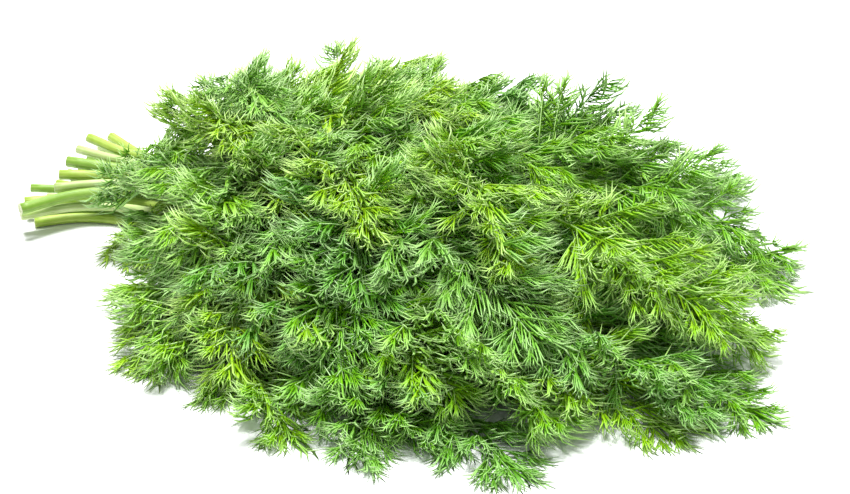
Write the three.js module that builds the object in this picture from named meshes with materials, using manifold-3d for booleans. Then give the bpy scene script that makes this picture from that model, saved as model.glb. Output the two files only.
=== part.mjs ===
// A bunch of fresh dill, lying loose on a table. It is a heap of leafy sprigs, gathered at a neck near
// their cut ends and fanned out beyond it. Each sprig grew as one piece, so each is one solid: a tapering
// stem, feathery fronds on alternate sides and one at its end, and pairs of pinnae along every frond.
//
// Millimetres. +X runs from the cut ends to the leaf tips, +Z is up, and the table is the plane z = 0.
// The origin is on the table, under the middle of the bunch's box.
import * as THREE from "three";
import { mergeVertices } from "three/addons/utils/BufferGeometryUtils.js";
import Module from "manifold-3d";

// ---- Driving dimensions ----------------------------------------------------------------------------

const NECK_X = -119.6; // where the neck stands from the middle of the bunch's box
const NECK_Y = -8.8;

// The sprigs lie at the neck in levels, side by side. twist turns a whole level in the plan, and low
// and high are the shares of the heap's height between which the level's sprigs run.
const LEVELS = [
  { count: 8, z: 2.2, twist: -0.145, low: 0.04, high: 0.16 },
  { count: 8, z: 7.7, twist: -0.05, low: 0.34, high: 0.5 },
  { count: 6, z: 13.1, twist: 0.125, low: 0.66, high: 0.84 },
];
const SLOT = 6.1; // from one stem to the next in a level, at the neck
const NECK_TURN = 0.3; // how far the stems point to the left of +X up to the neck, in radians
const FAN = 0.61; // how far the outermost stem of a level turns aside past the neck
const SPLAY = 0.6; // how far its cut end points the other way
const LEAN = 0.1; // how far the outermost stems of both sides lean to the left of +X besides

const STEM_LONGEST = 195; // from the neck to where the end frond starts
const STEM_SHORTER = 0.52; // how much shorter the outermost stems of a level are, as a share
const STEM_RADIUS = 2.3; // at the cut end
const STEM_TIP_RADIUS = 1.05;
const STEM_SIDES = 5;
const STEM_FLAT = Math.cos(Math.PI / STEM_SIDES); // from its axis to a side, over its radius
const STEM_STRIDE = 16;
const CUT_SHORTEST = 34; // from the neck back to the cut
const CUT_LONGEST = 48;

const FROND_SPACING = 31; // along the stem
const FIRST_FROND_OUTER = 0; // from the neck to the lowest frond of a level's outermost stems
const FIRST_FROND_INNER = 26; // and of the stems between them, which have less room
const FROND_LONGEST = 96;
const FROND_SHORTER = 0.45; // how much shorter the fronds right at the neck are, as a share
const FROND_TURN = 0.79; // from the stem to a side frond, in radians
const MIDRIB_RADIUS = 0.95;
const MIDRIB_TIP_RADIUS = 0.5;
const PAIRS = 4; // pairs of pinnae on a frond
const FIRST_PAIR = 0.2; // shares of the midrib's length
const LAST_PAIR = 0.94;
const PINNA_LONGEST = 0.5; // of the frond's length, with the leaflets at its tip
const PINNA_RISE = 0.7; // how steeply the most upright ones stand out of the frond's face
const PINNA_DIP = 0.2; // and how steeply the lowest ones hang
const PAIR_APART = 1.83; // least angle between the two of a pair, seen along the midrib, in radians
const PINNA_ROOT = 0.7; // half the length of midrib that a pinna grows from

// The heap: an oval swell on a low apron.
const HEAP_X = 108; // its summit, from the neck
const HEAP_LONG = 170;
const HEAP_WIDE = 120;
const HEAP_EDGE = 9;
const HEAP_RISE = 49;

const GAP = 0.35; // clear air between two sprigs
const PRESSED = 0.3; // how far the lowest stems are flattened by the table

// ---- Seeded draws ----------------------------------------------------------------------------------

// A new source of draws for each thing that grows, so that one never disturbs the next.
function seeded(seed) {
  let state = seed >>> 0;
  const draw = (low, high) => {
    state = (Math.imul(state, 1664525) + 1013904223) >>> 0;
    return low + ((high - low) * state) / 4294967296;
  };
  for (let i = 0; i < 3; i++) draw(0, 1);
  return draw;
}

// ---- The heap and the stems ------------------------------------------------------------------------

const ease = (t) => {
  const k = Math.min(1, Math.max(0, t));
  return k * k * (3 - 2 * k);
};

// Height of the heap's top over a place in the plan, measured from the neck.
function heapTop(x, y) {
  const swell = 1 - ((x - HEAP_X) / HEAP_LONG) ** 2 - (y / HEAP_WIDE) ** 2;
  return HEAP_EDGE + HEAP_RISE * Math.max(0, swell) ** 0.8;
}

// Which way a sheet at a share of the heap's height faces.
function heapNormal(x, y, share) {
  const d = 2;
  const slopeX = (heapTop(x + d, y) - heapTop(x - d, y)) / (2 * d);
  const slopeY = (heapTop(x, y + d) - heapTop(x, y - d)) / (2 * d);
  return new THREE.Vector3(-share * slopeX, -share * slopeY, 1).normalize();
}

// One sprig's stem: its centre line from the cut end to the tip, with a radius at each point. Every
// other stem of the lowest level lies on the table all along.
function growStem(level, place, index) {
  const draw = seeded(1000 + index * 77);
  const side = (2 * place) / (level.count - 1) - 1;
  const lowest = level === LEVELS[0];
  const drawn = draw(level.low, level.high);
  const share = lowest && place % 2 === 0 ? 0 : drawn;
  const girth = draw(0.78, 1.06);
  const wander = draw(0, 6.28);
  const fan = side * FAN + draw(-0.035, 0.035);
  const long = STEM_LONGEST * (1 - STEM_SHORTER * Math.abs(side) ** 1.3) * draw(0.9, 1.04);
  const cut = draw(CUT_SHORTEST, CUT_LONGEST);

  const heading = (s) =>
    level.twist +
    LEAN * side * side +
    NECK_TURN * (1 - ease((s + 10) / 70)) +
    fan * ease((s + 12) / 80) -
    side * SPLAY * (1 - ease((s + 34) / 40)) +
    0.06 * Math.sin(s / 33 + wander) * ease(s / 70);
  const height = (x, y, s, radius) => {
    const up = ease(s / 78);
    if (lowest) return Math.max(radius * STEM_FLAT - PRESSED, share * heapTop(x, y) * up);
    return level.z * (1 - up) + Math.max(level.z, share * heapTop(x, y)) * up;
  };
  const walk = (from, to, steps) => {
    const stride = (to - from) / steps;
    const line = [];
    let x = 0;
    let y = (side * SLOT * (level.count - 1)) / 2;
    for (let i = 0; i <= steps; i++) {
      const s = from + stride * i;
      const radius = girth * (STEM_RADIUS + ((STEM_TIP_RADIUS - STEM_RADIUS) * (s + cut)) / (long + cut));
      line.push({ s, at: new THREE.Vector3(x, y, height(x, y, s, radius)), radius, heading: heading(s) });
      const turn = heading(s + stride / 2);
      x += Math.cos(turn) * stride;
      y += Math.sin(turn) * stride;
    }
    return line;
  };
  const behind = walk(0, -cut, 2).reverse();
  const ahead = walk(0, long, Math.round(long / STEM_STRIDE));
  return { index, side, share, long, line: [...behind.slice(0, -1), ...ahead], draw };
}

// The stem's place and heading at a distance from the neck.
function stemAt(stem, s) {
  const line = stem.line;
  let i = 0;
  while (i < line.length - 2 && line[i + 1].s < s) i++;
  const t = (s - line[i].s) / (line[i + 1].s - line[i].s);
  const at = new THREE.Vector3().lerpVectors(line[i].at, line[i + 1].at, t);
  return { at, heading: line[i].heading + (line[i + 1].heading - line[i].heading) * t };
}

// ---- Clear air between sprigs ----------------------------------------------------------------------

// Shortest distance between two segments a-b and c-d.
function segmentDistance(a, b, c, d) {
  const u = new THREE.Vector3().subVectors(b, a);
  const v = new THREE.Vector3().subVectors(d, c);
  const w = new THREE.Vector3().subVectors(a, c);
  const uu = u.dot(u);
  const uv = u.dot(v);
  const vv = v.dot(v);
  const uw = u.dot(w);
  const vw = v.dot(w);
  const clamp = (k) => Math.min(1, Math.max(0, k));
  const slant = uu * vv - uv * uv;
  let s = slant > 1e-9 ? clamp((uv * vw - vv * uw) / slant) : 0;
  const t = clamp((uv * s + vw) / vv);
  s = clamp((uv * t - uw) / uu);
  return w.addScaledVector(u, s).addScaledVector(v, -t).length();
}

const taken = []; // every segment placed so far, with the sprig that owns it

function segments(line) {
  return line.slice(1).map((end, i) => {
    const start = line[i];
    return { a: start.at, b: end.at, radius: Math.max(start.radius, end.radius) };
  });
}

function place(line, owner) {
  for (const segment of segments(line)) taken.push({ ...segment, owner });
}

// True where a line of points keeps its distance from every other sprig.
function isClear(line, owner) {
  return segments(line).every(({ a, b, radius }) =>
    taken.every((other) => {
      if (other.owner === owner) return true;
      const room = radius + other.radius + GAP;
      const apart = (k) =>
        Math.min(a[k], b[k]) - room > Math.max(other.a[k], other.b[k]) ||
        Math.max(a[k], b[k]) + room < Math.min(other.a[k], other.b[k]);
      return apart("x") || apart("y") || apart("z") || segmentDistance(a, b, other.a, other.b) >= room;
    })
  );
}

// ---- Fronds ----------------------------------------------------------------------------------------

const pairShare = (pair) => FIRST_PAIR + ((LAST_PAIR - FIRST_PAIR) * pair) / (PAIRS - 1);
const MIDRIB_SHARES = [0, ...Array.from({ length: PAIRS }, (_, pair) => pairShare(pair)), 1];

// One frond's midrib, with a point at its root, at each pair of pinnae and at its tip. It leaves the stem
// sideways, arches, and settles on its own sheet of the heap. raise and swing carry it over and past its
// neighbours.
function growMidrib(stem, frond, raise, swing) {
  const from = stemAt(stem, frond.s);
  const startShare = from.at.z / heapTop(from.at.x, from.at.y);
  let { x, y } = from.at;
  return MIDRIB_SHARES.map((v, i) => {
    const before = MIDRIB_SHARES[Math.max(0, i - 1)];
    const middle = (v + before) / 2;
    const turn = from.heading + swing + frond.turn * (1 - 0.45 * middle) + frond.bend * middle;
    x += Math.cos(turn) * (v - before) * frond.long;
    y += Math.sin(turn) * (v - before) * frond.long;
    const radius = MIDRIB_RADIUS + (MIDRIB_TIP_RADIUS - MIDRIB_RADIUS) * v;
    const share = startShare + (frond.share - startShare) * ease(v * 1.3);
    const arch = frond.arch * Math.sin(Math.PI * Math.min(1, v * 1.15));
    const climb = raise * ease(v * 4) * (1 - 0.5 * ease((v - 0.25) / 0.75));
    const z = i === 0 ? from.at.z : Math.max(radius + 0.15, share * heapTop(x, y) + arch + climb);
    return { at: new THREE.Vector3(x, y, z), radius, share };
  });
}

// The ways that a midrib is tried, the least disturbed first: [raise in mm, swing in radians].
const WAYS = [];
for (let raise = -6; raise <= 9; raise++)
  for (let swing = -7; swing <= 7; swing++) WAYS.push([raise * 2, swing * 0.06]);
const disturbance = ([raise, swing]) => (raise / 2) ** 2 + (swing / 0.06 + 0.01) ** 2;
WAYS.sort((a, b) => disturbance(a) - disturbance(b));

function growFronds(stem) {
  const draw = stem.draw;
  const fronds = [];
  const outer = Math.abs(stem.side) > 0.8;
  const hand = draw(0, 1) < 0.5 ? 1 : -1;
  let side = outer ? Math.sign(stem.side) : hand;
  const first = (outer ? FIRST_FROND_OUTER : FIRST_FROND_INNER) + draw(-3, 6);
  for (let s = first; s < stem.long - 12; s += FROND_SPACING * draw(0.85, 1.12)) {
    const young = 1 - FROND_SHORTER * (1 - ease(s / 70));
    fronds.push({
      s,
      long: FROND_LONGEST * (1 - (0.26 * s) / STEM_LONGEST) * young * draw(0.8, 1.02),
      turn: side * draw(FROND_TURN - 0.2, FROND_TURN + 0.2),
      bend: side * draw(-0.2, 0.2),
      share: Math.min(0.98, Math.max(0.02, stem.share + draw(-0.1, 0.22))),
      arch: draw(1, 9),
      roll: draw(-0.4, 0.4),
    });
    side = -side;
  }
  fronds.push({
    s: stem.long - 4,
    long: FROND_LONGEST * draw(0.86, 1.0),
    turn: draw(-0.16, 0.16),
    bend: draw(-0.3, 0.3),
    share: Math.min(0.98, Math.max(0.03, stem.share + draw(-0.06, 0.1))),
    arch: draw(0, 5),
    roll: draw(-0.4, 0.4),
  });
  fronds.forEach((frond, i) => {
    frond.seed = stem.index * 100 + i;
    const way = WAYS.find(([raise, swing]) => isClear(growMidrib(stem, frond, raise, swing), stem.index));
    if (!way) return;
    frond.line = growMidrib(stem, frond, ...way);
    place(frond.line, stem.index);
  });
  return fronds.filter((frond) => frond.line);
}

// ---- Pinnae ----------------------------------------------------------------------------------------

// The ways that a pinna is tried, the least bent first: [towards the frond's face, towards its tip].
const TILTS = [[0, 0]];
for (let ring = 1; ring <= 4; ring++)
  for (const [face, tip] of [[1, 0], [0, 1], [0, -1], [-1, 0], [1, 1], [1, -1]])
    TILTS.push([face * ring * 0.13, tip * ring * 0.13]);

// A frond's pinnae, in pairs. The two of a pair keep apart, so that neither folds over the midrib. A pinna
// that finds no clear way is left off.
function growPinnae(frond, owner) {
  const draw = seeded(50000 + frond.seed * 13);
  const pinnae = [];
  for (let pair = 0; pair < PAIRS; pair++) {
    const { at, share } = frond.line[pair + 1];
    const along = new THREE.Vector3().subVectors(frond.line[pair + 2].at, frond.line[pair].at).normalize();
    const across = new THREE.Vector3()
      .crossVectors(heapNormal(at.x, at.y, share), along)
      .normalize()
      .applyAxisAngle(along, frond.roll);
    const face = new THREE.Vector3().crossVectors(along, across);
    const ahead = new THREE.Vector3().subVectors(frond.line[pair + 2].at, at).normalize();
    const outTo = (tip) => new THREE.Vector3().subVectors(tip, at).projectOnPlane(ahead).normalize();
    const far = pair / (PAIRS - 1);
    for (const side of [-1, 1]) {
      const long = frond.long * PINNA_LONGEST * (1 - 0.78 * far ** 0.9) * draw(0.86, 1.08);
      const angle = (1.0 - 0.42 * far) * draw(0.88, 1.12);
      const lift = draw(-PINNA_DIP, PINNA_RISE);
      const lineAt = ([towardsFace, towardsTip]) => {
        const direction = new THREE.Vector3()
          .addScaledVector(along, Math.cos(angle) + towardsTip)
          .addScaledVector(across, side * Math.sin(angle))
          .addScaledVector(face, lift + towardsFace)
          .normalize();
        const tip = at.clone().addScaledVector(direction, long);
        tip.z = Math.max(tip.z, 0.7);
        return [
          { at, radius: MIDRIB_RADIUS },
          { at: new THREE.Vector3().lerpVectors(at, tip, 0.5), radius: MIDRIB_RADIUS / 2 },
          { at: tip, radius: 0 },
        ];
      };
      const mate = pinnae.find((other) => other.pair === pair);
      const isApart = (line) => !mate || outTo(line[2].at).angleTo(mate.out) > PAIR_APART;
      const line = TILTS.map(lineAt).find((tried) => isApart(tried) && isClear(tried, owner));
      if (!line) continue;
      place(line, owner);
      pinnae.push({ pair, side, tip: line[2].at, out: outTo(line[2].at) });
    }
  }
  return pinnae;
}

// ---- Solids ----------------------------------------------------------------------------------------

const wasm = await Module();
wasm.setup();

function solidOf(geometry) {
  geometry.deleteAttribute("normal");
  geometry.deleteAttribute("uv");
  const merged = mergeVertices(geometry, 1e-4);
  return new wasm.Manifold(
    new wasm.Mesh({
      numProp: 3,
      vertProperties: merged.attributes.position.array,
      triVerts: new Uint32Array(merged.index.array),
    })
  );
}

// A closed tapering tube along a line: a cylinder whose rings are laid at the line's points, level or
// turned to a point's own sideways direction. turn is the angle of its first corner from straight down.
// Where drawnOut gives a tip for a ring and a side, the corner on that side is drawn out to it.
function tubeAlong(line, sides, turn, drawnOut) {
  const rings = line.length - 1;
  const tube = new THREE.CylinderGeometry(1, 1, 1, sides, rings, false, turn);
  const position = tube.attributes.position;
  for (let i = 0; i < position.count; i++) {
    const ring = Math.round((position.getY(i) + 0.5) * rings);
    const { at, radius } = line[ring];
    const before = line[Math.max(0, ring - 1)].at;
    const after = line[Math.min(rings, ring + 1)].at;
    const along = new THREE.Vector3().subVectors(after, before).normalize();
    const across = (line[ring].sideways ?? new THREE.Vector3(-along.y, along.x, 0)).clone();
    across.projectOnPlane(along).normalize();
    const face = new THREE.Vector3().crossVectors(along, across);
    const tip = drawnOut(ring, Math.round(position.getX(i)));
    const corner = at
      .clone()
      .addScaledVector(across, position.getX(i) * radius)
      .addScaledVector(face, position.getZ(i) * -radius);
    position.setXYZ(i, ...(tip ?? corner));
  }
  return solidOf(tube);
}

// Which way the midrib's right corner faces at a pair of pinnae: evenly between the two, so that neither
// folds over the midrib.
function facing(pair) {
  if (pair.length === 0) return undefined;
  return pair.reduce((sum, { out, side }) => sum.addScaledVector(out, side), new THREE.Vector3());
}

// One frond: a four-sided midrib, whose left and right corners are drawn out into the pinnae.
function frondSolid(frond, pinnae) {
  const line = [];
  frond.line.forEach((point, i) => {
    const inner = i > 0 && i < frond.line.length - 1;
    const sideways = facing(pinnae.filter((pinna) => pinna.pair === i - 1));
    const beside = (other) => {
      const t = PINNA_ROOT / point.at.distanceTo(other.at);
      return { ...point, at: new THREE.Vector3().lerpVectors(point.at, other.at, t), sideways };
    };
    if (inner) line.push(beside(frond.line[i - 1]));
    line.push({ ...point, sideways });
    if (inner) line.push(beside(frond.line[i + 1]));
  });
  const drawnOut = (ring, side) => pinnae.find((p) => ring === 3 * p.pair + 2 && side === p.side)?.tip;
  return tubeAlong(line, 4, 0, drawnOut);
}

function meshOf(solid, name, material) {
  const { vertProperties, triVerts } = solid.getMesh();
  const geometry = new THREE.BufferGeometry()
    .setAttribute("position", new THREE.BufferAttribute(vertProperties, 3))
    .setIndex(new THREE.BufferAttribute(triVerts, 1));
  const mesh = new THREE.Mesh(geometry, material);
  mesh.name = name;
  return mesh;
}

// ---- The bunch -------------------------------------------------------------------------------------

const stems = [];
for (const level of LEVELS)
  for (let spot = 0; spot < level.count; spot++) stems.push(growStem(level, spot, stems.length));
for (const stem of stems) place(stem.line, stem.index);
for (const stem of stems) stem.fronds = growFronds(stem);

const table = new THREE.BoxGeometry(800, 800, 100);
table.translate(0, 0, -50);
const tableSolid = solidOf(table);

const greens = [0x8fb23c, 0x5f9440, 0x4a8454].map(
  (color) => new THREE.MeshStandardMaterial({ color, roughness: 0.7, metalness: 0 })
);
const bunch = new THREE.Group();
for (const stem of stems) {
  const pieces = [tubeAlong(stem.line, STEM_SIDES, Math.PI / STEM_SIDES, () => null)];
  for (const frond of stem.fronds) pieces.push(frondSolid(frond, growPinnae(frond, stem.index)));
  const sprig = wasm.Manifold.union(pieces).subtract(tableSolid);
  const name = "dill_sprig_" + String(stem.index + 1).padStart(2, "0");
  bunch.add(meshOf(sprig, name, greens[stem.index % greens.length]));
}
bunch.position.set(NECK_X, NECK_Y, 0);

export default bunch;
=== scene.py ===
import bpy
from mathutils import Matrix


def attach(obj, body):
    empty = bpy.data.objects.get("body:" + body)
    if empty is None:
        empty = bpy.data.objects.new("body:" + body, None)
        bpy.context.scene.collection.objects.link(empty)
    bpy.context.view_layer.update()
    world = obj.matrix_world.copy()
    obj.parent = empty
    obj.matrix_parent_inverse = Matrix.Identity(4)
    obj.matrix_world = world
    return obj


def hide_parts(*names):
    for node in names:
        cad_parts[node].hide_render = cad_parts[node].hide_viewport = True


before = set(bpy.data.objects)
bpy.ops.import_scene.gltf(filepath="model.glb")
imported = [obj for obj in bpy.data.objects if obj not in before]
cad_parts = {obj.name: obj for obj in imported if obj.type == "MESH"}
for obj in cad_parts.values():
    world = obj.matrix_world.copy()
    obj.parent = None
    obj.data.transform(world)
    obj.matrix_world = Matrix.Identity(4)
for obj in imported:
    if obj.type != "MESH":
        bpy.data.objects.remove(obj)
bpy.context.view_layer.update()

import math

import bpy
import mathutils
import numpy as np

# ---- Stems -------------------------------------------------------------------------------------------
# The stems are juicy, round and finely ribbed, pale green at the cut and greener upwards. They lie in
# three levels, side by side at the neck, and fan out past it. A knife cut them square, and the pale
# pith shows in each cut. One straight stem is modelled, and every stem is a copy laid on its own line.

MM = 0.001
NECK = np.array([-119.6, -8.8, 0.0])
LEVELS = [  # sprigs side by side, their height at the neck, the level's turn, and its share of the heap
    (8, 2.2, -0.145, 0.04, 0.16),
    (8, 7.7, -0.05, 0.34, 0.5),
    (6, 13.1, 0.125, 0.66, 0.84),
]
SLOT = 6.1
NECK_TURN = 0.3
FAN = 0.61
SPLAY = 0.6
LEAN = 0.1
WAVE = 0.06
STEM_LONGEST = 195
STEM_SHORTER = 0.52
STEM_RADIUS = 2.3
STEM_TIP_RADIUS = 1.05
THINNEST = 0.78
THICKEST = 1.06
STEM_FLAT = math.cos(math.pi / 5)
STEM_STRIDE = 16
CUT_SHORTEST = 34
CUT_LONGEST = 48
PRESSED = 0.3
TOUCHES = 0.4 * MM

HEAP_X = 108
HEAP_LONG = 170
HEAP_WIDE = 120
HEAP_EDGE = 9
HEAP_RISE = 49


def seeded(seed):
    """A source of draws that gives the same numbers each time."""
    state = seed

    def draw(low, high):
        nonlocal state
        state = (state * 1664525 + 1013904223) % 4294967296
        return low + (high - low) * state / 4294967296

    for _ in range(3):
        draw(0, 1)
    return draw


def ease(t):
    k = min(1, max(0, t))
    return k * k * (3 - 2 * k)


def heap_top(x, y):
    swell = 1 - ((x - HEAP_X) / HEAP_LONG) ** 2 - (y / HEAP_WIDE) ** 2
    return HEAP_EDGE + HEAP_RISE * max(0, swell) ** 0.8


def unit(vector):
    return vector / np.linalg.norm(vector)


def grow_stem(level, place, index):
    """One stem's centre line from its cut to its tip, as (distance, place, radius, heading) each."""
    count, z, twist, low, high = level
    draw = seeded(1000 + index * 77)
    side = (2 * place) / (count - 1) - 1
    lowest = index < LEVELS[0][0]
    drawn = draw(low, high)
    share = 0 if lowest and place % 2 == 0 else drawn
    girth = draw(THINNEST, THICKEST)
    wander = draw(0, 6.28)
    fan = side * FAN + draw(-0.035, 0.035)
    long = STEM_LONGEST * (1 - STEM_SHORTER * abs(side) ** 1.3) * draw(0.9, 1.04)
    cut = draw(CUT_SHORTEST, CUT_LONGEST)

    def heading(s):
        return (
            twist
            + LEAN * side * side
            + NECK_TURN * (1 - ease((s + 10) / 70))  # straightens past the neck
            + fan * ease((s + 12) / 80)  # and fans out
            - side * SPLAY * (1 - ease((s + 34) / 40))  # the cut ends splay the other way
            + WAVE * math.sin(s / 33 + wander) * ease(s / 70)
        )

    def height(x, y, s, radius):
        up = ease(s / 78)
        if lowest:
            return max(radius * STEM_FLAT - PRESSED, share * heap_top(x, y) * up)
        return z * (1 - up) + max(z, share * heap_top(x, y)) * up

    def walk(end, steps):
        stride = end / steps
        x, y = 0, (side * SLOT * (count - 1)) / 2
        line = []
        for i in range(steps + 1):
            s = stride * i
            radius = girth * (STEM_RADIUS + ((STEM_TIP_RADIUS - STEM_RADIUS) * (s + cut)) / (long + cut))
            line.append((s, np.array([x, y, height(x, y, s, radius)]), radius, heading(s)))
            turn = heading(s + stride / 2)
            x += math.cos(turn) * stride
            y += math.sin(turn) * stride
        return line

    behind = walk(-cut, 2)[::-1]
    ahead = walk(long, math.floor(long / STEM_STRIDE + 0.5))
    line = behind[:-1] + ahead
    return {"index": index, "side": side, "share": share, "long": long, "line": line, "draw": draw}


stems = []
for level in LEVELS:
    for place in range(level[0]):
        stems.append(grow_stem(level, place, len(stems)))


def smooth_line(points, shares, wanted):
    """Places on a smooth curve through points, which stand at shares, at the wanted shares."""
    points, shares = np.asarray(points, float), np.asarray(shares, float)
    slopes = np.gradient(points, shares, axis=0)
    i = np.clip(np.searchsorted(shares, wanted, side="right") - 1, 0, len(shares) - 2)
    gap = (shares[i + 1] - shares[i])[:, None]
    t = (np.asarray(wanted) - shares[i])[:, None] / gap
    return (
        (2 * t**3 - 3 * t**2 + 1) * points[i]
        + (t**3 - 2 * t**2 + t) * gap * slopes[i]
        + (3 * t**2 - 2 * t**3) * points[i + 1]
        + (t**3 - t**2) * gap * slopes[i + 1]
    )


def lone_mesh():
    """The active object's mesh as arrays, with the object then gone: what a copy is made from."""
    piece = bpy.context.object
    mesh = piece.data
    corners = np.zeros(len(mesh.loops), int)
    mesh.loops.foreach_get("vertex_index", corners)
    starts = np.zeros(len(mesh.polygons), int)
    mesh.polygons.foreach_get("loop_start", starts)
    finishes = np.zeros(len(mesh.polygons), int)
    mesh.polygons.foreach_get("material_index", finishes)
    spots = np.zeros(len(mesh.vertices) * 3)
    mesh.vertices.foreach_get("co", spots)
    chart = np.zeros(len(mesh.loops) * 2)
    mesh.uv_layers[0].data.foreach_get("uv", chart)
    bpy.data.objects.remove(piece)
    return {
        "spots": spots.reshape(-1, 3),
        "corners": corners,
        "starts": starts,
        "finishes": finishes,
        "chart": chart.reshape(-1, 2),
    }


def laid_along(model, line, shares, thickness, rows):
    """A copy of a straight model, whose Z runs 0 to 1, laid along a smooth line through points at shares.
    thickness gives radii at shares of its own, and rows is the copy's strip of the chart."""
    wanted = model["spots"][:, 2]
    at = smooth_line(line, shares, wanted)
    ahead = smooth_line(line, shares, np.clip(wanted + 0.01, 0, 1)) - smooth_line(
        line, shares, np.clip(wanted - 0.01, 0, 1)
    )
    ahead /= np.linalg.norm(ahead, axis=1)[:, None]
    across = np.stack([-ahead[:, 1], ahead[:, 0], np.zeros(len(ahead))], 1)
    across /= np.linalg.norm(across, axis=1)[:, None]
    face = np.cross(ahead, across)
    radius = np.interp(wanted, *zip(*thickness))[:, None]
    spots = at + across * model["spots"][:, :1] * radius + face * model["spots"][:, 1:2] * radius
    chart = model["chart"].copy()
    chart[:, 1] = rows[0] + (rows[1] - rows[0]) * chart[:, 1]
    return {**model, "spots": spots, "chart": chart}


def piece_from(name, parts, finishes):
    """One mesh object, in metres on the table, from laid parts in millimetres from the neck."""
    spots = (np.concatenate([part["spots"] for part in parts]) + NECK) * MM
    low = np.minimum(spots[:, 2], TOUCHES)
    spots[:, 2] += TOUCHES * np.exp(low / TOUCHES - 1) - low  # what would sink into the table lies on it
    corners, starts, before, corners_before = [], [], 0, 0
    for part in parts:
        corners.append(part["corners"] + before)
        starts.append(part["starts"] + corners_before)
        before += len(part["spots"])
        corners_before += len(part["corners"])
    corners, starts = np.concatenate(corners), np.concatenate(starts)
    mesh = bpy.data.meshes.new(name)
    mesh.vertices.add(len(spots))
    mesh.vertices.foreach_set("co", spots.ravel())
    mesh.loops.add(len(corners))
    mesh.loops.foreach_set("vertex_index", corners)
    mesh.polygons.add(len(starts))
    mesh.polygons.foreach_set("loop_start", starts)
    mesh.polygons.foreach_set("material_index", np.concatenate([part["finishes"] for part in parts]))
    mesh.update(calc_edges=True)
    chart = mesh.uv_layers.new(name="OFBake")
    chart.data.foreach_set("uv", np.concatenate([part["chart"] for part in parts]).ravel())
    mesh.validate()
    mesh.shade_smooth()
    for finish in finishes:
        mesh.materials.append(finish)
    piece = bpy.data.objects.new(name, mesh)
    bpy.context.collection.objects.link(piece)
    return piece


def side_edges(mesh, low, high):
    """Selects the edges that run up the side of an upright model, between two heights."""
    for edge in mesh.edges:
        ends = sorted(mesh.vertices[v].co.z for v in edge.vertices)
        edge.select = abs(ends[0] - low) < 1e-5 and abs(ends[1] - high) < 1e-5


RIBS = 9
STEM_RINGS = 40
GROOVE = 0.93  # the stem's radius in the grooves between its ribs
RIND = 0.28
PITH_SUNK = 0.0015

bpy.ops.object.select_all(action="DESELECT")
bpy.ops.mesh.primitive_cylinder_add(vertices=2 * RIBS, radius=1, depth=1, location=(0, 0, 0.5))
bpy.ops.object.transform_apply()
bpy.ops.object.mode_set(mode="EDIT")
bpy.ops.mesh.select_mode(type="VERT")
bpy.ops.mesh.select_all(action="DESELECT")
bpy.ops.object.mode_set(mode="OBJECT")
for vertex in bpy.context.object.data.vertices:
    rib = round(math.atan2(vertex.co.y, vertex.co.x) / math.pi * RIBS)
    vertex.select = rib % 2 == 1
bpy.ops.object.mode_set(mode="EDIT")
bpy.ops.transform.resize(value=(GROOVE, GROOVE, 1))
bpy.ops.mesh.select_mode(type="FACE")
bpy.ops.mesh.select_all(action="DESELECT")
bpy.ops.object.mode_set(mode="OBJECT")
for face in bpy.context.object.data.polygons:
    face.select = face.normal.z < -0.9
bpy.ops.object.mode_set(mode="EDIT")
bpy.ops.mesh.inset(thickness=RIND, depth=0)
bpy.ops.mesh.inset(thickness=0.1, depth=-PITH_SUNK)  # the pith has sunk a little below the rind
bpy.ops.object.mode_set(mode="OBJECT")
mesh = bpy.context.object.data
for face in mesh.polygons:
    face.material_index = 1 if face.normal.z < -0.5 and face.center.z < 0.1 else 0
bpy.ops.object.mode_set(mode="EDIT")
bpy.ops.mesh.select_mode(type="EDGE")
bpy.ops.mesh.select_all(action="DESELECT")
bpy.ops.object.mode_set(mode="OBJECT")
side_edges(mesh, 0, 1)
bpy.ops.object.mode_set(mode="EDIT")
bpy.ops.mesh.subdivide(number_cuts=STEM_RINGS)
bpy.ops.object.mode_set(mode="OBJECT")
straight_stem = lone_mesh()


def node_maker(name):
    """A new material, and a way to add a node to it with its settings and its fed sockets."""
    material = bpy.data.materials.new(name)
    material.use_nodes = True
    tree = material.node_tree
    tree.nodes.clear()

    def add(kind, feeds=None, **settings):
        node = tree.nodes.new("ShaderNode" + kind)
        for key, value in settings.items():
            setattr(node, key, value)
        for key, value in (feeds or {}).items():
            if isinstance(value, bpy.types.NodeSocket):
                tree.links.new(value, node.inputs[key])
            else:
                node.inputs[key].default_value = value
        return node

    return material, add


def finish_with(add, shader):
    add("OutputMaterial", {"Surface": shader.outputs[0]})


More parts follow.
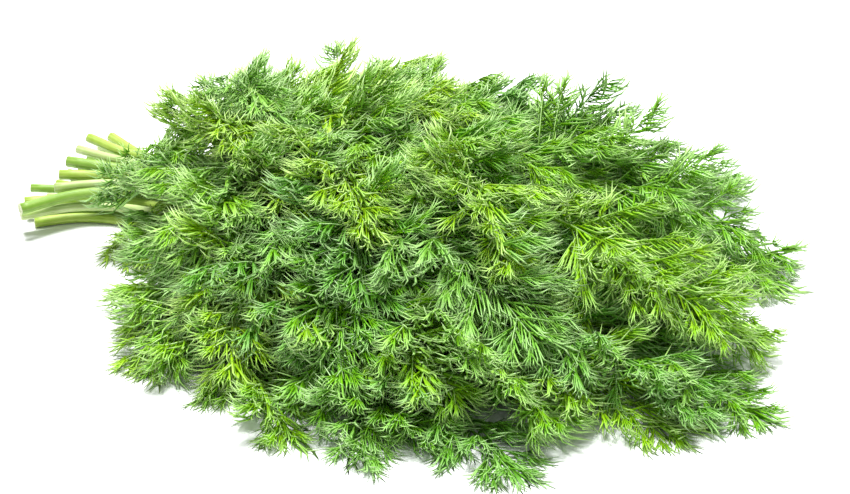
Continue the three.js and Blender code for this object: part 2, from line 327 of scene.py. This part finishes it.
def stem_skin(name, pale, green):
    """Ribbed stem skin: pale lines along the ribs, darker grooves, and a mottle of blotches and streaks."""
    material, add = node_maker(name)
    chart = add("UVMap", uv_map="OFBake")
    axes = add("SeparateXYZ", {0: chart.outputs[0]})
    turn = add("Math", {0: axes.outputs[0], 1: RIBS * 2 * math.pi}, operation="MULTIPLY")
    groove = add("Math", {0: turn.outputs[0]}, operation="COSINE")
    places = add("TexCoord")
    blotch = add(
        "TexNoise", {"Vector": places.outputs["Object"], "Scale": 95, "Detail": 3, "Roughness": 0.6}
    )
    streaks = add("Mapping", {"Vector": chart.outputs[0], "Scale": (60, 5, 1)})
    streak = add("TexNoise", {"Vector": streaks.outputs[0], "Scale": 1, "Detail": 4, "Roughness": 0.65})
    rib = add("MapRange", {0: groove.outputs[0], 1: -1, 2: 1, 3: -0.16, 4: 0.16})
    mottle = add("Math", {0: blotch.outputs[0], 1: streak.outputs[0]}, operation="ADD")
    spread = add("MapRange", {0: mottle.outputs[0], 1: 0.7, 2: 1.3, 3: 0.0, 4: 1.0})
    mixed = add("Math", {0: spread.outputs[0], 1: rib.outputs[0]}, operation="ADD", use_clamp=True)
    colour = add("Mix", {0: mixed.outputs[0], 6: (*green, 1), 7: (*pale, 1)}, data_type="RGBA")
    bump = add("Bump", {"Height": streak.outputs[0], "Strength": 0.25, "Distance": 0.0004})
    rough = add("MapRange", {0: blotch.outputs[0], 3: 0.34, 4: 0.52})
    shader = add(
        "BsdfPrincipled",
        {
            "Base Color": colour.outputs[2],
            "Roughness": rough.outputs[0],
            "Normal": bump.outputs[0],
            "Specular IOR Level": 0.45,
        },
    )
    finish_with(add, shader)
    return material


def cut_pith():
    """The knife's cut: pale wet pith, with a green rind round it."""
    material, add = node_maker("stem_cut")
    places = add("TexCoord")
    grain = add("TexNoise", {"Vector": places.outputs["Object"], "Scale": 1400, "Detail": 3})
    colour = add(
        "Mix", {0: grain.outputs[0], 6: (0.42, 0.5, 0.2, 1), 7: (0.72, 0.74, 0.5, 1)}, data_type="RGBA"
    )
    shader = add("BsdfPrincipled", {"Base Color": colour.outputs[2], "Roughness": 0.4})
    finish_with(add, shader)
    return material


stem_skins = [
    stem_skin("stem_yellow_green", (0.47, 0.6, 0.13), (0.25, 0.4, 0.03)),
    stem_skin("stem_green", (0.37, 0.54, 0.12), (0.17, 0.33, 0.03)),
    stem_skin("stem_pale", (0.61, 0.69, 0.35), (0.34, 0.48, 0.12)),
]
cut_face = cut_pith()

for stem in stems:
    index = stem["index"]
    line = [point[1] for point in stem["line"]]
    reach = [point[0] for point in stem["line"]]
    shares = (np.array(reach) - reach[0]) / (reach[-1] - reach[0])
    thickness = [(share, point[2]) for share, point in zip(shares, stem["line"])]
    parts = [laid_along(straight_stem, line, shares, thickness, (0, 1))]
    stalks = piece_from(f"dill_stalks_{index + 1:02d}", parts, [stem_skins[index % 3], cut_face])
    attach(stalks, "root")
    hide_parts(f"dill_sprig_{index + 1:02d}")

# ---- Fronds' midribs ---------------------------------------------------------------------------------
# Each frond hangs on a thin round midrib, which clasps the stem with a wider sheath, arches away from it
# and settles on its own layer of the heap. Fronds alternate along the stem, with one more at its end.
# One straight midrib is modelled; its copies are joined to the leaves that they carry.

FROND_SPACING = 31
FIRST_FROND_OUTER = 0
FIRST_FROND_INNER = 26
FROND_LONGEST = 96
FROND_SHORTER = 0.45
FROND_TURN = 0.79
MIDRIB_RADIUS = 0.95
MIDRIB_TIP_RADIUS = 0.5
PAIRS = 4
FIRST_PAIR = 0.2
LAST_PAIR = 0.94
GAP = 0.35  # kept clear between one sprig and the next
MIDRIB_SHARES = [
    0,
    *(FIRST_PAIR + (LAST_PAIR - FIRST_PAIR) * pair / (PAIRS - 1) for pair in range(PAIRS)),
    1,
]

taken = {"a": np.zeros((0, 3)), "b": np.zeros((0, 3)), "radius": np.zeros(0), "owner": np.zeros(0, int)}


def take(points, radii, owner):
    """Marks the stretches of a line as taken by one sprig."""
    points, radii = np.asarray(points), np.asarray(radii)
    taken["a"] = np.concatenate([taken["a"], points[:-1]])
    taken["b"] = np.concatenate([taken["b"], points[1:]])
    taken["radius"] = np.concatenate([taken["radius"], np.maximum(radii[:-1], radii[1:])])
    taken["owner"] = np.concatenate([taken["owner"], np.full(len(radii) - 1, owner)])


def is_clear(points, radii, owner):
    """True where a line of points keeps its distance from every other sprig."""
    others = taken["owner"] != owner
    c, d, reach = taken["a"][others], taken["b"][others], taken["radius"][others]
    v = d - c
    vv = (v * v).sum(1)
    for i in range(len(points) - 1):
        a, u = points[i], points[i + 1] - points[i]
        w = a - c
        uu, uv, uw, vw = u @ u, v @ u, w @ u, (v * w).sum(1)
        slant = uu * vv - uv * uv
        s = np.where(slant > 1e-9, np.clip((uv * vw - vv * uw) / np.where(slant > 1e-9, slant, 1), 0, 1), 0)
        t = np.clip((uv * s + vw) / vv, 0, 1)
        s = np.clip((uv * t - uw) / uu, 0, 1)
        apart = np.linalg.norm(w + u * s[:, None] - v * t[:, None], axis=1)
        if (apart < max(radii[i], radii[i + 1]) + reach + GAP).any():
            return False
    return True


for stem in stems:
    take([point[1] for point in stem["line"]], [point[2] for point in stem["line"]], stem["index"])


def stem_at(stem, s):
    """The stem's place and heading at a distance from the neck."""
    line = stem["line"]
    i = 0
    while i < len(line) - 2 and line[i + 1][0] < s:
        i += 1
    t = (s - line[i][0]) / (line[i + 1][0] - line[i][0])
    return line[i][1] + (line[i + 1][1] - line[i][1]) * t, line[i][3] + (line[i + 1][3] - line[i][3]) * t


def grow_midrib(stem, frond, climb_by, swing):
    """A midrib's points, and its share of the heap's height at each."""
    start, heading = stem_at(stem, frond["s"])
    x, y, start_z = start
    start_share = start_z / heap_top(x, y)
    points, layers = [], []
    for i, v in enumerate(MIDRIB_SHARES):
        before = MIDRIB_SHARES[max(0, i - 1)]
        middle = (v + before) / 2
        turn = heading + swing + frond["turn"] * (1 - 0.45 * middle) + frond["bend"] * middle
        x += math.cos(turn) * (v - before) * frond["long"]
        y += math.sin(turn) * (v - before) * frond["long"]
        radius = MIDRIB_RADIUS + (MIDRIB_TIP_RADIUS - MIDRIB_RADIUS) * v
        share = start_share + (frond["share"] - start_share) * ease(v * 1.3)
        arch = frond["arch"] * math.sin(math.pi * min(1, v * 1.15))
        climb = climb_by * ease(v * 4) * (1 - 0.5 * ease((v - 0.25) / 0.75))
        z = start_z if i == 0 else max(radius + 0.15, share * heap_top(x, y) + arch + climb)
        points.append(np.array([x, y, z]))
        layers.append(share)
    return points, layers


MIDRIB_RINGS = 13
MIDRIB_RADII = [MIDRIB_RADIUS + (MIDRIB_TIP_RADIUS - MIDRIB_RADIUS) * v for v in MIDRIB_SHARES]
WAYS = sorted(
    ((climb, swing) for climb in range(-6, 10) for swing in range(-7, 8)),
    key=lambda way: way[0] ** 2 + (way[1] + 0.01) ** 2,
)
CLIMB_STEP = 2
SWING_STEP = 0.06


def grow_fronds(stem):
    draw = stem["draw"]
    fronds = []
    outer = abs(stem["side"]) > 0.8
    hand = 1 if draw(0, 1) < 0.5 else -1
    side = math.copysign(1, stem["side"]) if outer else hand
    s = (FIRST_FROND_OUTER if outer else FIRST_FROND_INNER) + draw(-3, 6)
    while s < stem["long"] - 12:
        frond = {"s": s}
        young = 1 - FROND_SHORTER * (1 - ease(s / 70))
        frond["long"] = FROND_LONGEST * (1 - (0.26 * s) / STEM_LONGEST) * young * draw(0.8, 1.02)
        frond["turn"] = side * draw(FROND_TURN - 0.2, FROND_TURN + 0.2)
        frond["bend"] = side * draw(-0.2, 0.2)
        frond["share"] = min(0.98, max(0.02, stem["share"] + draw(-0.1, 0.22)))
        frond["arch"] = draw(1, 9)
        frond["roll"] = draw(-0.4, 0.4)
        fronds.append(frond)
        side = -side
        s += FROND_SPACING * draw(0.85, 1.12)
    frond = {"s": stem["long"] - 4}
    frond["long"] = FROND_LONGEST * draw(0.86, 1.0)
    frond["turn"] = draw(-0.16, 0.16)
    frond["bend"] = draw(-0.3, 0.3)
    frond["share"] = min(0.98, max(0.03, stem["share"] + draw(-0.06, 0.1)))
    frond["arch"] = draw(0, 5)
    frond["roll"] = draw(-0.4, 0.4)
    fronds.append(frond)
    kept = []
    for i, frond in enumerate(fronds):
        frond["seed"] = stem["index"] * 100 + i
        for climb, swing in WAYS:
            points, layers = grow_midrib(stem, frond, climb * CLIMB_STEP, swing * SWING_STEP)
            if is_clear(points, MIDRIB_RADII, stem["index"]):
                take(points, MIDRIB_RADII, stem["index"])
                kept.append({**frond, "points": points, "layers": layers})
                break
    return kept


for stem in stems:
    stem["fronds"] = grow_fronds(stem)


bpy.ops.object.select_all(action="DESELECT")
bpy.ops.mesh.primitive_cylinder_add(vertices=6, radius=1, depth=1, location=(0, 0, 0.5))
bpy.ops.object.transform_apply()
bpy.ops.object.mode_set(mode="EDIT")
bpy.ops.mesh.select_mode(type="EDGE")
bpy.ops.mesh.select_all(action="DESELECT")
bpy.ops.object.mode_set(mode="OBJECT")
side_edges(bpy.context.object.data, 0, 1)
bpy.ops.object.mode_set(mode="EDIT")
bpy.ops.mesh.subdivide(number_cuts=MIDRIB_RINGS)
bpy.ops.object.mode_set(mode="OBJECT")
straight_midrib = lone_mesh()

# ---- Leaves ------------------------------------------------------------------------------------------
# A dill leaf is all threads: pairs of side ribs leave each midrib, and leaflets of three or five soft,
# pointed threads stand in pairs along every rib, turned all ways. Two leaflets and one side rib are
# modelled; their copies follow each rib's own line and join into one feathery piece for each sprig.

PINNA_LONGEST = 0.5
PINNA_RISE = 0.7
PINNA_DIP = 0.2
PAIR_APART = 1.83
RIB_REACH = 0.92  # a rib, over the solid's pinna, which spans the leaflets at its tip as well
MORE_PAIRS = 2  # between one pair of the solid's ribs and the next
MORE_DIP = 0.35  # how far such a pair may hang below its frond's face
LEAFLET_SPACING = 5
MIDRIB_LEAFLET_SPACING = 6
LEAFLET_LONGEST = 23
LEAFLET_ROLL = 0.75  # round the rib
LEAFLET_SPIN = 0.6  # round its own stalk
LEAFLET_SAG = 0.22
STANDING = 0.9  # how far a midrib's own leaflets stand up out of the frond
RIB_ARCH = 0.1
RIB_TIP_LEAFLET = 0.87  # where the last pair stands along a rib
TINTS = 8  # shades of green among one frond's leaflets
CHART_ROWS = 64  # strips of the chart, one for each shade of each frond of a sprig

TILTS = [(0, 0)]
for ring in range(1, 5):
    for to_face, to_tip in ((1, 0), (0, 1), (0, -1), (-1, 0), (1, 1), (1, -1)):
        TILTS.append((to_face * ring * 0.13, to_tip * ring * 0.13))


def heap_normal(x, y, share):
    slope_x = (heap_top(x + 2, y) - heap_top(x - 2, y)) / 4
    slope_y = (heap_top(x, y + 2) - heap_top(x, y - 2)) / 4
    return unit(np.array([-share * slope_x, -share * slope_y, 1]))


def frond_axes(at, ahead, share, roll):
    """Along the midrib, across the frond, and out of its face."""
    along = unit(ahead)
    level = unit(np.cross(heap_normal(at[0], at[1], share), along))
    across = level * math.cos(roll) + np.cross(along, level) * math.sin(roll)
    return along, across, np.cross(along, across)


def pinna_tip(at, axes, side, long, angle, lift, tilt):
    along, across, face = axes
    way = (
        along * (math.cos(angle) + tilt[1])
        + across * (side * math.sin(angle))
        + face * (lift + tilt[0])
    )
    tip = at + unit(way) * long
    tip[2] = max(tip[2], 0.7)
    return tip


def grow_ribs(frond, owner):
    """The frond's side ribs as (root, tip, face of the frond): the solid's own, and more between them."""
    draw = seeded(50000 + frond["seed"] * 13)
    points, layers = frond["points"], frond["layers"]
    ribs = []
    for pair in range(PAIRS):
        at = points[pair + 1]
        axes = frond_axes(at, points[pair + 2] - points[pair], layers[pair + 1], frond["roll"])
        ahead = unit(points[pair + 2] - at)
        mate = None
        far = pair / (PAIRS - 1)
        for side in (-1, 1):
            long = frond["long"] * PINNA_LONGEST * (1 - 0.78 * far**0.9) * draw(0.86, 1.08)
            angle = (1.0 - 0.42 * far) * draw(0.88, 1.12)
            lift = draw(-PINNA_DIP, PINNA_RISE)
            for tilt in TILTS:
                tip = pinna_tip(at, axes, side, long, angle, lift, tilt)
                out = unit(tip - at - ahead * np.dot(tip - at, ahead))
                if mate is not None and math.acos(np.clip(np.dot(out, mate), -1, 1)) <= PAIR_APART:
                    continue
                line, radii = [at, (at + tip) / 2, tip], [MIDRIB_RADIUS, MIDRIB_RADIUS / 2, 0]
                if is_clear(line, radii, owner):
                    take(line, radii, owner)
                    ribs.append((at, tip, axes[2]))
                    mate = out
                    break
    steps = (PAIRS - 1) * (MORE_PAIRS + 1)
    for step in range(steps):
        if step % (MORE_PAIRS + 1) == 0:
            continue
        far = step / steps
        v = FIRST_PAIR + (LAST_PAIR - FIRST_PAIR) * far
        before, at, after = smooth_line(points, MIDRIB_SHARES, [v - 0.03, v, v + 0.03])
        share = float(np.interp(v, MIDRIB_SHARES, layers))
        axes = frond_axes(at, after - before, share, frond["roll"])
        for side in (-1, 1):
            long = frond["long"] * PINNA_LONGEST * (1 - 0.66 * far**0.9) * draw(0.66, 1.1)
            angle = (1.0 - 0.42 * far) * draw(0.72, 1.2)
            lift = draw(-MORE_DIP, PINNA_RISE)
            ribs.append((at, pinna_tip(at, axes, side, long, angle, lift, (0, 0)), axes[2]))
    return ribs


def add_thread(long, radius, sag=0.0, curl=0.0, at=(0, 0, 0), turn=0.0, root_share=0.0, cuts=1):
    """One pointed three-sided thread, made upright, curled and then laid along +X at its turn."""
    bpy.ops.object.select_all(action="DESELECT")
    bpy.ops.mesh.primitive_cone_add(
        vertices=3, radius1=radius, radius2=0, depth=long, location=(0, 0, long / 2)
    )
    thread = bpy.context.object
    bpy.ops.object.transform_apply()
    for cut in range(cuts):
        share = (cut + 1) / (cuts + 1)
        bpy.ops.object.mode_set(mode="EDIT")
        bpy.ops.mesh.select_all(action="SELECT")
        bpy.ops.mesh.bisect(plane_co=(0, 0, long * share), plane_no=(0, 0, 1))
        stout = (1 - 0.25 * share**2) / (1 - share)  # a thread keeps its thickness, then ends sharply
        bpy.ops.transform.resize(value=(stout, stout, 1), center_override=(0, 0, long * share))
        bpy.ops.object.mode_set(mode="OBJECT")
    mesh = thread.data
    chart = mesh.uv_layers[0].data
    for face in mesh.polygons:
        middle = math.atan2(face.center.y, face.center.x)
        for loop in face.loop_indices:
            spot = mesh.vertices[mesh.loops[loop].vertex_index].co
            swing = math.remainder(math.atan2(spot.y, spot.x) - middle, 2 * math.pi)
            tip = spot.z > long * 0.999
            corner = 0.5 if tip else (0.0 if swing < 0 else 1.0)
            flat_end = 0.04 if face.normal.z < -0.9 and swing > 0 else 0.0
            chart[loop].uv = (root_share + (1 - root_share) * spot.z / long + flat_end, corner)
    for ring in range(1, cuts + 2):
        share = ring / (cuts + 1)
        for vertex in mesh.vertices:
            vertex.select = abs(vertex.co.z - long * share) < 1e-4
        bpy.ops.object.mode_set(mode="EDIT")
        bpy.ops.mesh.select_mode(type="VERT")
        bpy.ops.transform.translate(value=(sag * share**2, curl * share**2, 0))
        bpy.ops.object.mode_set(mode="OBJECT")
    thread.rotation_euler = (0, math.pi / 2, turn)
    thread.location = at
    bpy.ops.object.transform_apply()
    return thread


def joined(threads):
    bpy.ops.object.select_all(action="DESELECT")
    for thread in threads:
        thread.select_set(True)
    bpy.context.view_layer.objects.active = threads[0]
    bpy.ops.object.join()
    return lone_mesh()


five_threads = joined(
    [
        add_thread(10, 0.24, 2.3, 0.5, cuts=2),
        add_thread(8.6, 0.24, 1.9, -1.2, at=(0.7, 0, 0), turn=0.46, root_share=0.07),
        add_thread(8.0, 0.24, 1.4, 1.1, at=(1.5, 0, -0.1), turn=-0.44, root_share=0.14),
        add_thread(6.6, 0.24, 1.0, -0.8, at=(3.0, 0.1, -0.25), turn=0.38, root_share=0.32),
        add_thread(5.9, 0.24, 1.3, 0.7, at=(4.0, 0.12, -0.4), turn=-0.36, root_share=0.4),
    ]
)
three_threads = joined(
    [
        add_thread(10, 0.27, 2.2, -0.7),
        add_thread(8.0, 0.28, 1.4, -1.0, at=(1.5, 0, 0), turn=0.42, root_share=0.16),
        add_thread(7.2, 0.31, 1.0, 0, at=(2.6, 0, -0.1), turn=-0.36, root_share=0.26, cuts=0),
    ]
)

bpy.ops.object.select_all(action="DESELECT")
bpy.ops.mesh.primitive_cylinder_add(vertices=3, radius=1, depth=1, location=(0, 0, 0.5))
bpy.ops.object.transform_apply()
bpy.ops.object.mode_set(mode="EDIT")
bpy.ops.mesh.select_mode(type="EDGE")
bpy.ops.mesh.select_all(action="DESELECT")
bpy.ops.object.mode_set(mode="OBJECT")
side_edges(bpy.context.object.data, 0, 1)
bpy.ops.object.mode_set(mode="EDIT")
bpy.ops.mesh.subdivide(number_cuts=2)
bpy.ops.object.mode_set(mode="OBJECT")
side_rib = lone_mesh()


def copies_of(model, places, rows):
    """Copies of a leaflet, each at its (root, way, face, size), as one part."""
    root, way, face, size = (np.array(column) for column in zip(*places))
    way /= np.linalg.norm(way, axis=1)[:, None]
    side = np.cross(face, way)
    side /= np.linalg.norm(side, axis=1)[:, None]
    face = np.cross(way, side)
    axes = np.stack([way, side, face], 1) * (size / 10)[:, None, None]
    spots = root[:, None] + model["spots"] @ axes
    count, vertices, loops = len(places), len(model["spots"]), len(model["corners"])
    chart = np.tile(model["chart"], (count, 1, 1))
    chart[:, :, 1] = (np.array(rows)[:, None] + 0.2 + 0.6 * chart[:, :, 1]) / CHART_ROWS
    return {
        "spots": spots.reshape(-1, 3),
        "corners": (model["corners"] + np.arange(count)[:, None] * vertices).ravel(),
        "starts": (model["starts"] + np.arange(count)[:, None] * loops).ravel(),
        "finishes": np.tile(model["finishes"], count),
        "chart": chart.reshape(-1, 2),
    }


def leaflet_on(at, ahead, beside, face, side, angle, size, draw, raised=0.0):
    """A leaflet's (root, way, face, size): out to a side, rolled round the rib, and sagging a little."""
    turn = draw(-LEAFLET_ROLL, LEAFLET_ROLL) * (1 - 0.5 * raised) + raised
    out = beside * (side * math.cos(turn)) + face * math.sin(turn)
    way = ahead * math.cos(angle) + out * math.sin(angle)
    way[2] -= draw(0, LEAFLET_SAG)
    spin = draw(-LEAFLET_SPIN, LEAFLET_SPIN)
    return at, way, face * math.cos(spin) + beside * math.sin(spin), size


def leaflets_on_rib(rib, draw):
    """The leaflets along one side rib, the small ones at its tip, and the rib's arched line."""
    at, tip, face = rib
    reach = (tip - at) * RIB_REACH
    long = np.linalg.norm(reach)
    ahead = reach / long
    beside = unit(np.cross(face, ahead))
    arch = np.cross(ahead, beside) * long * draw(0.0, RIB_ARCH)
    full = LEAFLET_LONGEST * min(1, 0.5 + long / 60)
    pairs = max(2, round(long * 0.86 / LEAFLET_SPACING))
    found = []
    for step in range(pairs):
        for side in (-1, 1):
            t = 0.08 + 0.84 * (step + 0.5 + draw(-0.25, 0.25) + 0.2 * side) / pairs
            root = at + reach * t + arch * 4 * t * (1 - t)
            angle = (0.66 - 0.32 * t) * draw(0.6, 1.2)
            size = full * (1 - 0.44 * t) * draw(0.75, 1.15)
            found.append(leaflet_on(root, ahead, beside, face, side, angle, size, draw))
    for side in (-1, 1):
        root = at + reach * RIB_TIP_LEAFLET + arch * 0.45
        found.append(leaflet_on(root, ahead, beside, face, side, 0.2, full * draw(0.55, 0.74), draw))
    return found, [at, at + reach * 0.5 + arch, at + reach * 0.93 + arch * 0.26]


def leaflets_on_midrib(frond, draw):
    """The few leaflets that stand on the midrib itself, between its side ribs."""
    found = []
    shares = np.arange(0.17, 0.97, MIDRIB_LEAFLET_SPACING / frond["long"])
    spots = smooth_line(frond["points"], MIDRIB_SHARES, shares)
    beyond = smooth_line(frond["points"], MIDRIB_SHARES, shares + 0.02)
    for v, at, after in zip(shares, spots, beyond):
        layer = float(np.interp(v, MIDRIB_SHARES, frond["layers"]))
        ahead, beside, face = frond_axes(at, after - at, layer, frond["roll"])
        for side in (-1, 1):
            size = LEAFLET_LONGEST * draw(0.7, 1.0)
            angle = draw(0.25, 0.7)
            found.append(leaflet_on(at, ahead, beside, face, side, angle, size, draw, STANDING))
    return found


def leaf_green(name, deep, bright):
    """Soft matt leaf: each thread is darker and more saturated at its root, painted shade deep in the
    foliage, and pales towards its tip, a painted highlight; each leaflet has its own tint.
    """
    material, add = node_maker(name)
    chart = add("UVMap", uv_map="OFBake")
    axes = add("SeparateXYZ", {0: chart.outputs[0]})
    row = add("Math", {0: axes.outputs[1], 1: CHART_ROWS}, operation="MULTIPLY")
    leaflet = add("Math", {0: row.outputs[0]}, operation="FLOOR")
    frond_row = add("Math", {0: leaflet.outputs[0], 1: TINTS}, operation="DIVIDE")
    frond = add("Math", {0: frond_row.outputs[0]}, operation="FLOOR")
    leaflet_shade = add("TexWhiteNoise", {"W": leaflet.outputs[0]}, noise_dimensions="1D")
    frond_hash = add("Math", {0: frond.outputs[0], 1: 0.37}, operation="ADD")
    frond_shade = add("TexWhiteNoise", {"W": frond_hash.outputs[0]}, noise_dimensions="1D")
    part = add("Math", {0: leaflet_shade.outputs[0], 1: 0.45}, operation="MULTIPLY")
    whole = add("Math", {0: frond_shade.outputs[0], 1: 0.55, 2: part.outputs[0]}, operation="MULTIPLY_ADD")
    tinted = add("Mix", {0: whole.outputs[0], 6: (*deep, 1), 7: (*bright, 1)}, data_type="RGBA")
    # Painted highlight: each thread pales towards a whitish green from a third of its length to its tip.
    tip = add("MapRange", {0: axes.outputs[0], 1: 0.3, 2: 1.0, 3: 0.0, 4: 0.5})
    pale = add("Mix", {0: tip.outputs[0], 6: tinted.outputs[2], 7: (0.58, 0.67, 0.43, 1)}, data_type="RGBA")
    # Painted shade: each thread is darkened at its root, where it lies deep in the foliage.
    painted_root_shade = add("MapRange", {0: axes.outputs[0], 1: 0.0, 2: 0.4, 3: 0.42, 4: 1.08})
    fleck = add("Mapping", {"Vector": chart.outputs[0], "Scale": (9, 300, 1)})
    flecks = add("TexNoise", {"Vector": fleck.outputs[0], "Scale": 1, "Detail": 2})
    light = add("MapRange", {0: flecks.outputs[0], 1: 0.3, 2: 0.7, 3: 0.85, 4: 1.15})
    value = add("Math", {0: painted_root_shade.outputs[0], 1: light.outputs[0]}, operation="MULTIPLY")
    # Painted shade: the roots are also more saturated, like green light bounced within the foliage.
    depth = add("MapRange", {0: axes.outputs[0], 1: 0.0, 2: 0.6, 3: 1.18, 4: 1.0})
    colour = add(
        "HueSaturation",
        {"Color": pale.outputs[2], "Saturation": depth.outputs[0], "Value": value.outputs[0]},
    )
    rough = add("MapRange", {0: flecks.outputs[0], 3: 0.34, 4: 0.5})
    shader = add(
        "BsdfPrincipled",
        {"Base Color": colour.outputs[0], "Roughness": rough.outputs[0], "Specular IOR Level": 0.5},
    )
    finish_with(add, shader)
    return material


leaf_greens = [
    leaf_green("leaf_yellow_green", (0.215, 0.52, 0.02), (0.44, 0.7, 0.07)),
    leaf_green("leaf_green", (0.16, 0.46, 0.026), (0.36, 0.66, 0.09)),
    leaf_green("leaf_blue_green", (0.13, 0.4, 0.042), (0.33, 0.61, 0.13)),
]
RIB_THICKNESS = [(0, 0.46), (0.5, 0.4), (1, 0.22)]
MIDRIB_THICKNESS = [(0, 1.25), (0.06, 1.1), (0.15, 0.7), (0.5, 0.5), (1, 0.25)]  # wide where it clasps
DEEP_HEAP = 26  # where the heap is higher, its lower half has leaflets of three threads
SMALL = 0.6  # shorter leaflets than this share of the longest have three threads as well

for stem in stems:
    index = stem["index"]
    parts, placed = [], [([], []), ([], [])]
    for i, frond in enumerate(stem["fronds"]):
        draw = seeded(90000 + frond["seed"] * 7)
        row = (i * TINTS + 0.3) / CHART_ROWS, (i * TINTS + 0.7) / CHART_ROWS
        parts.append(laid_along(straight_midrib, frond["points"], MIDRIB_SHARES, MIDRIB_THICKNESS, row))
        found = leaflets_on_midrib(frond, draw)
        for rib in grow_ribs(frond, index):
            leaflets, line = leaflets_on_rib(rib, draw)
            found += leaflets
            parts.append(laid_along(side_rib, line, [0, 0.5, 1], RIB_THICKNESS, row))
        for place in found:
            x, y, z = place[0]
            buried = heap_top(x, y) > DEEP_HEAP and z < 0.5 * heap_top(x, y)
            places, rows = placed[1 if buried or place[3] < LEAFLET_LONGEST * SMALL else 0]
            places.append(place)
            rows.append(i * TINTS + math.floor(draw(0, TINTS)))
    parts.append(copies_of(five_threads, *placed[0]))
    parts.append(copies_of(three_threads, *placed[1]))
    leaves = piece_from(f"dill_leaves_{index + 1:02d}", parts, [leaf_greens[index % 3]])
    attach(leaves, "root")
    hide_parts(f"dill_sprig_{index + 1:02d}")

# ---- Table and light ---------------------------------------------------------------------------------
# A plain white table, lit from all round like a studio tent, with one large soft light above, a little
# behind and towards the cut ends, and a camera that looks down on the bunch from its front.

TABLE_SIZE = 12
TABLE_BELOW = 0.0002
TENT_LIGHT = 0.39  # the tent's cloth lights softly, and looks white
TENT_SEEN = 1.0
SUN_POWER = 6.4
SUN_WIDTH = math.radians(22)
SUN_TURN = (math.radians(-7), math.radians(-8), 0)

bpy.ops.object.select_all(action="DESELECT")
bpy.ops.mesh.primitive_plane_add(size=TABLE_SIZE, location=(0, 0, -TABLE_BELOW))
table = bpy.context.object
table.name = "table"
white, add = node_maker("white_table")
finish_with(add, add("BsdfPrincipled", {"Base Color": (0.86, 0.87, 0.88, 1), "Roughness": 0.7}))
table.data.materials.append(white)

world = bpy.data.worlds.new("studio_tent")
world.use_nodes = True
tent = world.node_tree.nodes["Background"]
tent.inputs[0].default_value = (1.0, 1.0, 1.0, 1)
seen = world.node_tree.nodes.new("ShaderNodeLightPath")
strength = world.node_tree.nodes.new("ShaderNodeMapRange")
strength.inputs[3].default_value = TENT_LIGHT
strength.inputs[4].default_value = TENT_SEEN
world.node_tree.links.new(seen.outputs["Is Camera Ray"], strength.inputs[0])
world.node_tree.links.new(strength.outputs[0], tent.inputs[1])
bpy.context.scene.world = world

sun = bpy.data.lights.new("overhead", "SUN")
sun.energy = SUN_POWER
sun.angle = SUN_WIDTH
overhead = bpy.data.objects.new("overhead", sun)
overhead.rotation_euler = SUN_TURN
bpy.context.collection.objects.link(overhead)

AZIMUTH = math.radians(34.1)
ELEVATION = math.radians(29.2)
DISTANCE = 1.144
AIM = mathutils.Vector((0.0147, -0.0114, 0.0229))
LENS = 126
camera = bpy.data.cameras.new("camera")
camera.lens = LENS
camera.clip_start = 0.01
holder = bpy.data.objects.new("camera", camera)
bpy.context.collection.objects.link(holder)
back = mathutils.Vector(
    (
        math.sin(AZIMUTH) * math.cos(ELEVATION),
        -math.cos(AZIMUTH) * math.cos(ELEVATION),
        math.sin(ELEVATION),
    )
)
holder.location = AIM + back * DISTANCE
holder.rotation_euler = (-back).to_track_quat("-Z", "Y").to_euler()
bpy.context.scene.camera = holder
bpy.context.scene.view_settings.view_transform = "Standard"
